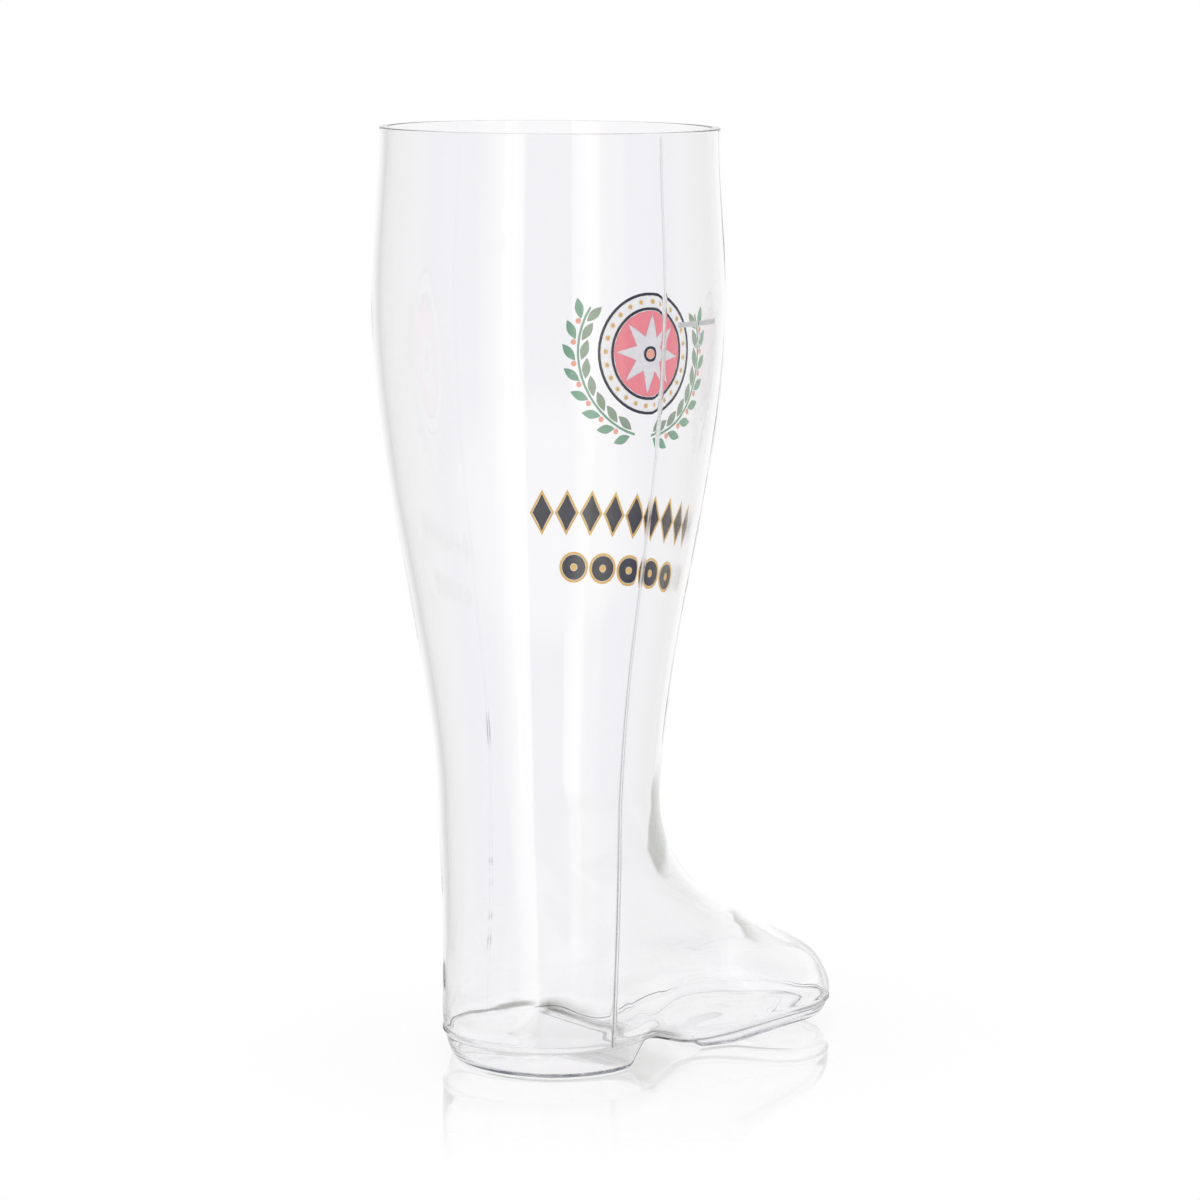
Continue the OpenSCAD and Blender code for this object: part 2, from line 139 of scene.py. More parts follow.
def leg_r(z):
    """Outer radius of the leg at a height above the ankle."""
    return np.where(
        z < BELLY_Z,
        mix(ANKLE_R, BELLY_R, between(z, ANKLE_Z, BELLY_Z)),
        mix(BELLY_R, RIM_R, between(z, BELLY_Z, LIP_Z)),
    )


def edge_z(x):
    """Height of the sole's edge along the foot."""
    start = ARCH_X + ARCH_DROP
    dip = SLAB_X - SLAB_STEP
    return np.where(
        x < dip,
        mix(HEEL_H, DIP_H, between(x, start, dip)),
        mix(DIP_H, TOE_H, smooth((x - dip) / (STRAIGHT_X + TOE_RUN - SLAB_X))),
    )


def under_z(x):
    """Height of the underside along the foot: heel, its front face, arch and front sole."""
    arch = edge_z(x) - ARCH_DROP
    front = np.maximum(0, edge_z(x) - SLAB_T)
    heel = np.interp(x, (BREAST_X, ARCH_X), (0, 1)) * (HEEL_H - ARCH_DROP)
    return np.where(x < ARCH_X, heel, mix(arch, front, np.interp(x, (SLAB_X - SLAB_STEP, SLAB_X), (0, 1))))


# The ankle stands a little forward of the leg's axis, between these heights
ANKLE_SHIFT = 0.8
SHIFT_UP_Z = (8.0, 60.0)
SHIFT_BACK_Z = (165.0, 105.0)


def shift_x(z):
    return ANKLE_SHIFT * between(z, *SHIFT_UP_Z) * between(z, *SHIFT_BACK_Z)


# The mould seam on both sides: its place along the foot, its height and its half width
SEAM_X_LOW = 1.3
SEAM_X_HIGH = 2.3
SEAM_TOP_Z = 300.0
SEAM_H_LOW = 0.42
SEAM_W_LOW = 0.62
SEAM_W_HIGH = 0.42
SEAM_FAR_SHARE = 0.25
SEAM_FADE_Z = 160.0
SEAM_PLACES = (1.9, 1.3, 0.95, 0.7, 0.48, 0.3, 0.14, 0.0, -0.14, -0.3, -0.48, -0.7, -0.95)


def seam_x(z):
    return mix(SEAM_X_LOW, SEAM_X_HIGH, smooth(z / SEAM_TOP_Z))


# Columns of points round a row
TOE_COLUMNS = 18
HEEL_COLUMNS = 30
SHOULDER = 0.6
DENSE_TURNS = 600
SIDE_BLEND = 0.4


def spread(a, b, steps):
    """Places between two others, without the two."""
    return [mix(a, b, i / steps) for i in range(1, steps)]


# Where the columns along the foot's side meet the sole's edge, close together at each step below it
SIDE_PLACES = np.array([
    *spread(STRAIGHT_X, SLAB_X + SHOULDER, 9),
    SLAB_X + SHOULDER, SLAB_X - SHOULDER, SLAB_X - SLAB_STEP + SHOULDER, SLAB_X - SLAB_STEP - SHOULDER,
    *spread(SLAB_X - SLAB_STEP, ARCH_X + SHOULDER, 9),
    ARCH_X + SHOULDER, ARCH_X - SHOULDER,
    *spread(ARCH_X, BREAST_X + SHOULDER, 7),
    BREAST_X + SHOULDER, BREAST_X - SHOULDER, 0.75 * BREAST_X, 0.55 * BREAST_X,
])
FRONT_COUNT = TOE_COLUMNS + 1 + len(SIDE_PLACES) + len(SEAM_PLACES) + 1
HALF = FRONT_COUNT + HEEL_COLUMNS


def half_w(u, side, waist, ball):
    """Half the foot's width along a row, from the leg's axis (0) to the toe (1)."""
    slope = (ball - side) / BALL_SHARE
    near = hermite(side, waist, 0, slope, WAIST_SHARE, u / WAIST_SHARE)
    run = BALL_SHARE - WAIST_SHARE
    far = hermite(waist, ball, slope, 0, run, (u - WAIST_SHARE) / run)
    return np.where(u < WAIST_SHARE, near, np.where(u < BALL_SHARE, far, ball))


def row_turns(places, share, reach, z):
    """Turns of a row's front half from the toe (0) to the side (1), fixed in place along the seam."""
    dense = np.linspace(0, 1, DENSE_TURNS + 1)
    x = reach * places(dense)
    seam = np.interp(seam_x(z) + np.array(SEAM_PLACES), x[::-1], dense[::-1])
    toe = TOE_TURN * np.linspace(0, 1, TOE_COLUMNS + 1)
    low = 1 - (1 - TOE_TURN) * SIDE_PLACES / STRAIGHT_X
    high = np.linspace(TOE_TURN, seam[0], len(SIDE_PLACES) + 2)[1:-1]
    return np.concatenate([toe, mix(low, high, smooth(share / SIDE_BLEND)), seam, [1]])


def closed_row(reach, back, side, waist, ball, blunt, share, z):
    """One row all round, as places seen from above: the toe's side, the heel and the other side."""
    round_turn = 1 - BLUNT_TURN * blunt

    def along(turn):
        straight = blunt * (1 - turn) / max(1 - round_turn, 1e-9)
        return np.where(turn <= round_turn, mix(blunt, 1, np.cos(np.pi / 2 * turn / round_turn)), straight)

    turns = row_turns(along, share, reach, z)
    u = along(turns)
    round_share = np.sin(np.pi / 2 * np.minimum(1, turns / round_turn))
    heel = np.pi / 2 * (1 + np.arange(1, HEEL_COLUMNS + 1) / HEEL_COLUMNS)
    x = np.concatenate([reach * u, back * np.cos(heel)])
    y = np.concatenate([half_w(u, side, waist, ball) * round_share, side * np.sin(heel)])
    return np.concatenate([x, x[-2:0:-1]]), np.concatenate([y, -y[-2:0:-1]])


def foot_row(share):
    turned = through(share, TURN)
    top_r = float(leg_r(np.array(INSTEP_Z)))
    side = mix(HEEL_R, top_r, smooth(share))
    x, y = closed_row(
        reach=mix(top_r, TOE_X, through(share, REACH)),
        back=mix(HEEL_BACK, top_r, share * smooth(share)),
        side=side,
        waist=mix(WAIST_R * through(share, WAIST), side, turned),
        ball=mix(BALL_R * through(share, BALL), side, turned),
        blunt=max(0.0, through(share, BLUNTNESS)),
        share=share,
        z=mix(HEEL_H, INSTEP_Z, share),
    )
    fade = np.clip(1 - share / EDGE_FADE, 0, 1) ** EDGE_FADE_POWER
    z = mix(HEEL_H, INSTEP_Z, share) + (edge_z(x) - HEEL_H) * fade
    return np.stack([x + shift_x(z), y, z], -1)


def leg_row(z):
    r = float(leg_r(np.array(z)))
    x, y = closed_row(r, r, r, r, r, 0.0, 1.0, z)
    return np.stack([x + shift_x(z), y, np.full_like(x, z)], -1)


# The bead along the sole's edge, as rise and inset, and the side under the edge, as shares of inset and height
EDGE_BEAD = (
    (0.0, 0.0), (0.3, 0.0), (0.65, 0.05), (0.95, 0.2), (1.2, 0.36), (1.5, 0.44), (2.2, 0.42), (3.2, 0.3),
    (4.6, 0.15), (6.4, 0.04),
)
SOLE_SIDE = (
    (1.0, 0.0), (0.93, 0.012), (0.84, 0.05), (0.73, 0.12), (0.6, 0.25), (0.48, 0.42), (0.38, 0.6), (0.3, 0.76),
    (0.22, 0.87), (0.1, 0.945), (0.02, 0.985),
)
# How far that side runs inward: little at the near side, more at the toe, most at the back and far side
SOLE_INSET = 2.0
SOLE_INSET_TOE = 3.4
SOLE_INSET_BACK = 2.6
SOLE_BACK_WAY = (-0.8, 0.6)
TOE_INSET_X = (60.0, 88.0)
FOOT_STEPS = 40
LEG_STEPS = 50
RIM_ROUND = 0.6
RIM_STEPS = 5
CAP_STRIPS = 20

# How the blown wall's inner face wanders: heights and spans of its waves, which end under the rim
WAVE_LEG = 0.07
WAVE_FOOT = 0.20
WAVE_FLOOR = 0.18
WAVE_SPAN = 34.0
WAVE_SPAN_FOOT = 12.0
WAVE_PLACE = Vector((7, 3, 1))
WAVE_TOP_RUN = 20.0

# The wall gets thinner towards the sole
LOW_WALL = 0.40
LOW_WALL_Z = 60.0


def side_ways(row):
    """Outward directions square to a row, seen from above."""
    along = np.roll(row, -1, 0) - np.roll(row, 1, 0)
    side = np.stack([along[:, 1], -along[:, 0]], -1)
    return side / np.linalg.norm(side, axis=1, keepdims=True)


def push(row, distance):
    """The row moved outward, or inward by less than nothing."""
    out = row.copy()
    out[:, :2] += side_ways(row) * np.asarray(distance)[..., None]
    return out


def seamed(row):
    """The row with the mould seam standing proud at both sides."""
    z = row[:, 2]
    up = smooth(z / SEAM_FADE_Z)
    height = mix(SEAM_H_LOW, SEAM_H_HIGH, up) * np.where(row[:, 1] > 0, SEAM_FAR_SHARE, 1)
    half = mix(SEAM_W_LOW, SEAM_W_HIGH, up)
    return push(row, height * np.exp(-(((row[:, 0] - shift_x(z) - seam_x(z)) / half) ** 2)))


# Painted shade beside the seam, high and low on the glass: its two lines' distance, softness and darkness
SEAM_SHADE_Z = (20, 240)
SEAM_LINES_AT = (0.34, 0.62)
SEAM_LINES_SOFT = (0.7, 0.45)
SEAM_LINES_DARK = (0.45, 1.0)
SEAM_LINES_END = 3
# The far seam's painted shade shows in bits, under these heights
SEAM_FAR_Z = (190, 130)
SEAM_FAR_DARK = (0.05, 0.1)
SEAM_BITS_DARK = 0.8
SEAM_BITS = (0.28, 0.53)
SEAM_BITS_SPANS = (1.6, 14)
SEAM_BITS_WIDE = 0.6


def seam_shade(row):
    """Painted shade beside the seam for each point of a row: two lines low down, one thin line at the top."""
    x, y, z = row.T
    low = 1 - between(z, *SEAM_SHADE_Z)
    off = (x - shift_x(z) - seam_x(z)) / mix(*SEAM_LINES_AT, low)
    lines = np.exp(-((np.abs(off) - 1) / mix(*SEAM_LINES_SOFT, low)) ** 2)
    fine, wide = SEAM_BITS_SPANS
    bits = np.array([
        noise.noise(Vector((0, 3, h / fine))) + SEAM_BITS_WIDE * noise.noise(Vector((5, 0, h / wide)))
        for h in z
    ])
    high_dark, low_dark = SEAM_FAR_DARK
    far = mix(high_dark, low_dark + SEAM_BITS_DARK * between(bits, *SEAM_BITS), between(z, *SEAM_FAR_Z))
    return lines * np.where(y < 0, mix(*SEAM_LINES_DARK, low), far) * (np.abs(off) < SEAM_LINES_END)


# The painted shade over the sole's edge, at the heel and at the arch: height over the edge and half width
LIP_ARCH_X = (-6, 14)
LIP_UP = (0.3, 1.6)
LIP_HALF = (0.7, 1.1)
LIP_RAGGED = 0.7
LIP_SOFT = 1.6
LIP_START_X = (-22, -8)
LIP_END_X = (22, 16)
RAGGED_SPAN = 7


def lip_shade(row):
    """Painted shade on the sole's edge as seen from inside the glass, thickest at the arch."""
    x, z = row[:, 0], row[:, 2]
    arch = between(x, *LIP_ARCH_X)
    ragged = np.array([noise.noise(Vector(p) / RAGGED_SPAN) for p in row])
    up = (z - edge_z(x)) - mix(*LIP_UP, arch)
    half = mix(*LIP_HALF, arch) * (1 + LIP_RAGGED * ragged)
    return smooth(LIP_SOFT - np.abs(up) / half) * between(x, *LIP_START_X) * between(x, *LIP_END_X)


# The painted shade on the low arch inside: its ragged ridge, where it gets weaker and where it ends
RIDGE_BACK = 0.2
RIDGE_RAGGED = 1.2
RIDGE_RUN = 1.2
RIDGE_FINE = 0.5
RIDGE_FINE_SPAN = 2.5
RIDGE_DARK = (0.5, 1.0)
RIDGE_DARK_X = (31, 25)
RIDGE_END_X = (48, 38)
RIDGE_TOP_Z = (10.6, 9.8)


def ridge_shade(points):
    """Painted shade for each point inside on the low arch, from its ragged ridge behind the heel forward."""
    x, _, z = points.T
    ragged = np.array([
        noise.noise(Vector((p[1], 9, 0)) / RAGGED_SPAN)
        + RIDGE_FINE * noise.noise(Vector((p[0], p[1], 0)) / RIDGE_FINE_SPAN)
        for p in points
    ])
    start = smooth((x - ARCH_X + RIDGE_BACK - RIDGE_RAGGED * ragged) / RIDGE_RUN)
    fade = mix(*RIDGE_DARK, between(x, *RIDGE_DARK_X)) * between(x, *RIDGE_END_X)
    return start * fade * between(z, *RIDGE_TOP_Z)


# The painted dark line under the sole's edge, behind and at the front sole: drop, half width and darkness
EDGE_FRONT_X = (42, 54)
EDGE_WIDE_X = (84, 68)
EDGE_DROP = (0.4, 0.5)
EDGE_HALF = (0.3, 0.5)
EDGE_DARK = (0.35, 0.95)
EDGE_NEAR_Y = 2
EDGE_NEAR_RUN = 8
EDGE_TOE_X = (104, 120)


def edge_shade(row):
    """Painted dark line under the sole's edge at the near side, darker at the front sole."""
    x, y, z = row.T
    front = between(x, *EDGE_FRONT_X)
    half = mix(*EDGE_HALF, front * between(x, *EDGE_WIDE_X))
    line = np.exp(-(((z - edge_z(x) + mix(*EDGE_DROP, front)) / half) ** 2))
    near = smooth((EDGE_NEAR_Y - y) / EDGE_NEAR_RUN + between(x, *EDGE_TOE_X))
    return line * near * mix(*EDGE_DARK, front)


def outer_rows():
    rise = INSTEP_Z - HEEL_H
    rows = [push(foot_row(up / rise), np.array(-inset)) for up, inset in EDGE_BEAD]
    first = EDGE_BEAD[-1][0] / rise
    shares = mix(first, 1, np.linspace(0, 1, FOOT_STEPS + 1)[1:-1])
    rows += [foot_row(share) for share in shares]
    return rows + [leg_row(z) for z in np.linspace(INSTEP_Z, LIP_Z, LEG_STEPS + 1)]


def waves(row):
    """Small changes of the wall's thickness, as blown glass has them inside."""
    low = smooth((INSTEP_Z - row[:, 2]) / INSTEP_Z)
    high = smooth((LIP_Z - row[:, 2]) / WAVE_TOP_RUN)
    out = []
    for p, share, fade in zip(row, low, high):
        wide = noise.noise(Vector(p) / WAVE_SPAN)
        fine = noise.noise(Vector(p) / WAVE_SPAN_FOOT + WAVE_PLACE)
        out.append(fade * (WAVE_LEG * wide + WAVE_FOOT * share * fine))
    return np.array(out)


def inner_rows(rows):
    """Rows set inward by the wall, square to the surface."""
    made = []
    for i, row in enumerate(rows):
        along = np.roll(row, -1, 0) - np.roll(row, 1, 0)
        last = i == len(rows) - 1
        up = np.array([0, 0, 1.0]) + 0 * row if last else rows[i + 1] - rows[max(0, i - 1)]
        out = np.cross(along, up)
        out /= np.linalg.norm(out, axis=1, keepdims=True)
        wall = WALL * mix(LOW_WALL, 1, smooth(row[:, 2] / LOW_WALL_Z)) + waves(row)
        made.append(row - wall[:, None] * out)
    return made


def sole_row(edge, inset, height, wall=0.0):
    """A row of the side under the sole's edge, or of its inner face when a wall is given."""
    toe = mix(SOLE_INSET, SOLE_INSET_TOE, between(edge[:, 0], *TOE_INSET_X))
    back = SOLE_INSET + SOLE_INSET_BACK * np.clip(side_ways(edge) @ SOLE_BACK_WAY, 0, 1)
    row = push(edge, -inset * np.maximum(toe, back) - wall)
    row[:, 2] = mix(under_z(edge[:, 0]) + wall, edge[:, 2], height)
    return row


def rim_rows(top):
    """Rows over the rim: a nearly flat top, rounded at both sides."""
    arc = [math.pi / 2 * i / RIM_STEPS for i in range(RIM_STEPS + 1)]
    over = [(RIM_ROUND * (1 - math.cos(a)), RIM_ROUND * (1 - math.sin(a))) for a in arc]
    over += [(WALL - inset, drop) for inset, drop in reversed(over)]
    rows = []
    for inset, drop in over:
        row = top * (RIM_R - inset) / RIM_R
        row[:, 2] = BOOT_H - drop
        rows.append(row)
    return rows


def floor_wave(p):
    return WAVE_FLOOR * noise.noise(Vector(p) / WAVE_SPAN_FOOT - WAVE_PLACE)


def cap(verts, faces, first, row, wave):
    """Closes a row by strips across the foot, with points of their own between the two sides."""
    n = len(row)
    lines = []
    for k in range(HALF):
        other = (n - k) % n
        if other == k:
            lines.append([first + k])
            continue
        line = [first + k]
        for j in range(1, CAP_STRIPS):
            p = mix(row[k], row[other], j / CAP_STRIPS)
            if wave:
                p = p + np.array([0, 0, wave(p) * math.sin(math.pi * j / CAP_STRIPS)])
            line.append(len(verts))
            verts.append(p)
        lines.append(line + [first + other])
    for a, b in zip(lines, lines[1:]):
        for j in range(CAP_STRIPS):
            ends = [min(j, len(a) - 1), min(j + 1, len(a) - 1)], [min(j + 1, len(b) - 1), min(j, len(b) - 1)]
            face = list(dict.fromkeys([a[i] for i in ends[0]] + [b[i] for i in ends[1]]))
            if len(face) > 2:
                faces.append(face)


def glass_mesh():
    """The glass as one closed skin: side of the sole, outer face, rim, inner face and floor."""
    outer = outer_rows()
    inner = inner_rows(outer)
    edge = foot_row(0.0)
    start = len(EDGE_BEAD) - 2
    rows = [sole_row(edge, inset, height) for inset, height in SOLE_SIDE]
    rows += [seamed(row) for row in outer]
    rows += rim_rows(outer[-1])
    rows += inner[:start - 1:-1]
    rows += [sole_row(edge, inset, height, FLOOR_T) for inset, height in reversed(SOLE_SIDE)]
    n = len(edge)
    verts = [p for row in rows for p in row]
    faces = []
    for i in range(len(rows) - 1):
        for k in range(n):
            a, b = i * n + k, i * n + (k + 1) % n
            faces.append([a, b, b + n, a + n])
    cap(verts, faces, 0, rows[0], None)
    cap(verts, faces, (len(rows) - 1) * n, rows[-1], floor_wave)
    mesh = bpy.data.meshes.new("boot_glass_smooth")
    mesh.from_pydata([tuple(p * MM) for p in verts], [], faces)
    outside = len(SOLE_SIDE) + len(outer)
    # Painted shade for each point, kept on the mesh: seam and edge lines, the lip and the arch's ridge; the
    # last row marks the outer face
    shades = np.zeros((4, len(verts)))
    shades[3, :outside * n] = 1
    for i, row in enumerate(rows[:outside]):
        seam = seam_shade(row) if i >= len(SOLE_SIDE) else 0
        shades[0, i * n:(i + 1) * n] = np.maximum(seam, edge_shade(row))
        shades[1, i * n:(i + 1) * n] = lip_shade(row)
    shades[2, outside * n:] = ridge_shade(np.array(verts[outside * n:]))
    for name, values in zip(("seam", "lip", "ridge", "outside"), shades):
        mesh.attributes.new(name, "FLOAT", "POINT").data.foreach_set("value", values.astype(np.float32))
    bm = bmesh.new()
    bm.from_mesh(mesh)
    bmesh.ops.recalc_face_normals(bm, faces=bm.faces)
    bm.to_mesh(mesh)
    bm.free()
    for p in mesh.polygons:
        p.use_smooth = True
    return mesh


class Tree:
    """A node tree, with short ways to add nodes; a value is a number, a colour or another node's output."""

    def __init__(self, owner):
        owner.use_nodes = True
        self.nodes, self.links = owner.node_tree.nodes, owner.node_tree.links

    def new(self, kind, **values):
        node = self.nodes.new(kind)
        for socket, value in values.items():
            self.put(node.inputs[socket], value)
        return node

    def put(self, socket, value):
        if isinstance(value, bpy.types.NodeSocket):
            self.links.new(value, socket)
        else:
            socket.default_value = value

    def math(self, operation, *values, clamp=False):
        node = self.new("ShaderNodeMath")
        node.operation = operation
        node.use_clamp = clamp
        for socket, value in zip(node.inputs, values):
            self.put(socket, value)
        return node.outputs[0]

    def product(self, *values):
        out = values[0]
        for value in values[1:]:
            out = self.math("MULTIPLY", out, value)
        return out

    def since(self, value, start, run):
        """0 up to the start and 1 from a run after it."""
        return self.math("DIVIDE", self.math("SUBTRACT", value, start), run, clamp=True)

    def ramp(self, factor, stops):
        node = self.new("ShaderNodeValToRGB", Fac=factor)
        elements = node.color_ramp.elements
        while len(elements) < len(stops):
            elements.new(0.5)
        for element, (place, _) in zip(elements, stops):
            element.position = place
        for element, (_, tone) in zip(elements, stops):
            element.color = (*tone, 1) if isinstance(tone, tuple) else (tone, tone, tone, 1)
        return node.outputs["Color"]

    def blend(self, amount, without, full):
        """A colour between two others."""
        node = self.new("ShaderNodeMix")
        node.data_type = "RGBA"
        self.put(node.inputs["Factor"], amount)
        self.put(node.inputs[6], without)
        self.put(node.inputs[7], full)
        return node.outputs[2]

    def both(self, amount, without, full):
        """A shader between two others."""
        node = self.new("ShaderNodeMixShader")
        for socket, value in zip(node.inputs, (amount, without.outputs[0], full.outputs[0])):
            self.put(socket, value)
        return node

    def attribute(self, name):
        node = self.new("ShaderNodeAttribute")
        node.attribute_name = name
        return node.outputs["Fac"]

    def place(self):
        """The three coordinates on the object, in metres."""
        node = self.new("ShaderNodeSeparateXYZ")
        self.put(node.inputs[0], self.new("ShaderNodeTexCoord").outputs["Object"])
        return node.outputs


def new_material(name):
    material = bpy.data.materials.new(name)
    tree = Tree(material)
    return material, tree, tree.nodes["Principled BSDF"], tree.nodes["Material Output"]


# Tint of the clear glass, and painted shade beside the seam, over the edge and on the arch inside
GLASS_TINT = (1.0, 0.995, 1.0, 1)
SEAM_AND_EDGE_PAINTED_SHADE = (0.10, 0.105, 0.09, 1)
LIP_PAINTED_SHADE = (0.22, 0.235, 0.21, 1)
RIDGE_PAINTED_SHADE = (0.14, 0.15, 0.12, 1)
# Painted shade where the glass is seen nearly edge on: grey-green spots at ankle and instep, and the toe's
# outline
SPOT_PAINTED_SHADE = (0.40, 0.42, 0.375, 1)
TOE_PAINTED_SHADE = (0.17, 0.185, 0.19, 1)
GLASS_IOR = 1.5
ABSORB_COLOUR = (0.60, 0.66, 0.61, 1)
ABSORB_DENSITY = 1.0
# Where the painted shade spots show, by height as a share: from which turn from the eye, up to which, in front
# of where and how strong
SPOT_HEIGHT = 0.12
SPOT_FROM = (
    (0.32, 0.45), (0.34, 0.50), (0.355, 0.545), (0.375, 0.58), (0.39, 0.67), (0.60, 0.47), (0.655, 0.47),
    (0.683, 0.46), (0.733, 0.51), (0.81, 0.60), (0.883, 0.62), (0.95, 0.74),
)
SPOT_TO = (
    (0.32, 0.62), (0.34, 0.68), (0.355, 0.74), (0.375, 0.80), (0.39, 0.88), (0.59, 0.60), (0.62, 0.70),
    (0.655, 0.84), (0.683, 1.0), (0.733, 1.1), (0.81, 1.0), (0.883, 1.0), (0.95, 1.1),
)
SPOT_FRONT = ((0.45, 0.62), (0.55, 0.1))
SPOT_FRONT_UNIT = 0.1
SPOT_SHARE = (
    (0.29, 0.0), (0.32, 1.0), (0.355, 1.0), (0.39, 0.9), (0.41, 0.0), (0.565, 0.0), (0.585, 1.0), (0.85, 1.0),
    (0.97, 0.0),
)
SPOT_SOFT_FROM = 0.03
SPOT_SOFT_TO = 0.16
SPOT_SOFT_FRONT = 0.05
# The toe's painted dark outline: start and run of the turn from the eye, of the place along the foot and of the
# height
TOE_LINE_TURN = (0.68, 0.14)
TOE_LINE_X = (0.098, 0.022)
TOE_LINE_HEIGHT = (0.10, 0.05)


def glass_material():
    material, tree, shader, output = new_material("clear_glass")
    # Painted shade spots at ankle and instep, placed by height and by the turn from the eye
    turn = tree.new("ShaderNodeLayerWeight", Blend=0.5).outputs["Facing"]
    x, _, z = tree.place()
    height = tree.math("DIVIDE", z, SPOT_HEIGHT, clamp=True)
    painted_spot = tree.ramp(height, SPOT_SHARE)
    for more, less, soft in (
        (turn, tree.ramp(height, SPOT_FROM), SPOT_SOFT_FROM),
        (tree.ramp(height, SPOT_TO), turn, SPOT_SOFT_TO),
        (tree.math("DIVIDE", x, SPOT_FRONT_UNIT), tree.ramp(height, SPOT_FRONT), SPOT_SOFT_FRONT),
    ):
        painted_spot = tree.product(painted_spot, tree.since(more, less, soft))
    inside = tree.new("ShaderNodeNewGeometry").outputs["Backfacing"]
    entering = tree.math("SUBTRACT", tree.attribute("outside"), inside, clamp=True)
    # Painted dark outline of the toe, where its glass turns edge on
    toe = tree.product(
        tree.since(x, *TOE_LINE_X), tree.since(turn, *TOE_LINE_TURN), tree.since(height, *TOE_LINE_HEIGHT))
    # The clear glass tint with painted shade mixed in: spots and the toe's outline by the turn from the eye,
    # fixed lines at seam, edge, lip and arch
    tint_and_painted_shade = GLASS_TINT
    for amount, colour in (
        (tree.product(painted_spot, entering), SPOT_PAINTED_SHADE),
        (toe, TOE_PAINTED_SHADE),
        (tree.attribute("seam"), SEAM_AND_EDGE_PAINTED_SHADE),
        (tree.product(tree.attribute("lip"), inside), LIP_PAINTED_SHADE),
        (tree.attribute("ridge"), RIDGE_PAINTED_SHADE),
    ):
        tint_and_painted_shade = tree.blend(amount, tint_and_painted_shade, colour)
    tree.put(shader.inputs["Base Color"], tint_and_painted_shade)
    shader.inputs["Transmission Weight"].default_value = 1.0
    shader.inputs["IOR"].default_value = GLASS_IOR
    shader.inputs["Roughness"].default_value = 0.0
    absorb = tree.new("ShaderNodeVolumeAbsorption", Color=ABSORB_COLOUR, Density=ABSORB_DENSITY)
    tree.put(output.inputs["Volume"], absorb.outputs["Volume"])
    return material


# The enamel's grain: its size, and where its dark and its light tone lie and how they differ from the colour
GRAIN_SCALE = 900
GRAIN_DETAIL = 3
GRAIN_DARK_AT = 0.3
GRAIN_DARK = 0.94
GRAIN_LIGHT_AT = 0.75
GRAIN_LIGHT = 1.03
GRAIN_LIFT = 0.004
ENAMEL_SPECULAR = 0.2
# Each coat's colour, how much light comes through it, and its roughness
ENAMELS = {
    "medallion_red": ((0.99, 0.52, 0.552), 0.98, 0.25),
    "ring_white": ((1.0, 1.0, 1.0), 1.0, 0.25),
    "star_silver": ((0.92, 0.915, 0.925), 0.98, 0.35),
    "outline_black": ((0.015, 0.015, 0.02), 0.1, 0.3),
    "leaves_dark_green": ((0.473, 0.66, 0.527), 0.97, 0.25),
    "leaves_light_green": ((0.545, 0.625, 0.517), 0.97, 0.25),
    "berries_orange": ((0.995, 0.655, 0.54), 0.97, 0.25),
    "border_gold": ((0.95, 0.74, 0.32), 0.92, 0.3),
    "fill_mark": ((0.97, 0.97, 0.98), 0.75, 0.3),
}


def enamel_material(name, colour, see_through, roughness):
    """Printed and fired enamel: a thin coat with a little grain, a soft gloss and some light through it."""
    material, tree, shader, output = new_material(name)
    where = tree.new("ShaderNodeTexCoord").outputs["Object"]
    grain = tree.new("ShaderNodeTexNoise", Vector=where, Scale=GRAIN_SCALE, Detail=GRAIN_DETAIL)
    tones = tree.ramp(grain.outputs["Fac"], (
        (GRAIN_DARK_AT, tuple(c * GRAIN_DARK for c in colour)),
        (GRAIN_LIGHT_AT, tuple(min(1, c * GRAIN_LIGHT + GRAIN_LIFT) for c in colour)),
    ))
    tree.put(shader.inputs["Base Color"], tones)
    shader.inputs["Roughness"].default_value = roughness
    shader.inputs["Specular IOR Level"].default_value = ENAMEL_SPECULAR
    glow = tree.new("ShaderNodeBsdfTranslucent", Color=tones)
    tree.put(output.inputs["Surface"], tree.both(see_through, shader, glow).outputs[0])
    return material


def dress_enamels():
    for node, (colour, see_through, roughness) in ENAMELS.items():
        material = enamel_material(node, colour, see_through, roughness)
        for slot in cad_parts[node].material_slots:
            slot.material = material


# Camera
CAM_AZIMUTH = math.radians(-36.97)
CAM_DISTANCE = 1599 * MM
CAM_HEIGHT = 409.85 * MM
CAM_AIM_SIDE = 19.22 * MM
CAM_AIM_Z = 171.43 * MM
CAM_ROLL = math.radians(0.36)
CAM_LENS = 131.55
CAM_SENSOR = 36.0
CAM_CLIP = 0.05
TO_CAMERA = Vector((math.sin(CAM_AZIMUTH), -math.cos(CAM_AZIMUTH), 0))
CAM_RIGHT = Vector((math.cos(CAM_AZIMUTH), math.sin(CAM_AZIMUTH), 0))


def make_camera():
    data = bpy.data.cameras.new("camera")
    data.lens = CAM_LENS
    data.sensor_width = CAM_SENSOR
    data.clip_start = CAM_CLIP
    camera = bpy.data.objects.new("camera", data)
    place = TO_CAMERA * CAM_DISTANCE + Vector((0, 0, CAM_HEIGHT))
    aim = CAM_RIGHT * CAM_AIM_SIDE + Vector((0, 0, CAM_AIM_Z))
    forward = (aim - place).normalized()
    right = forward.cross(Vector((0, 0, 1))).normalized()
    up = right.cross(forward)
    right, up = (
        right * math.cos(CAM_ROLL) + up * math.sin(CAM_ROLL),
        up * math.cos(CAM_ROLL) - right * math.sin(CAM_ROLL),
    )
    turn = Matrix((right, up, -forward)).transposed()
    camera.matrix_world = Matrix.Translation(place) @ turn.to_4x4()
    bpy.context.scene.collection.objects.link(camera)
    bpy.context.scene.camera = camera


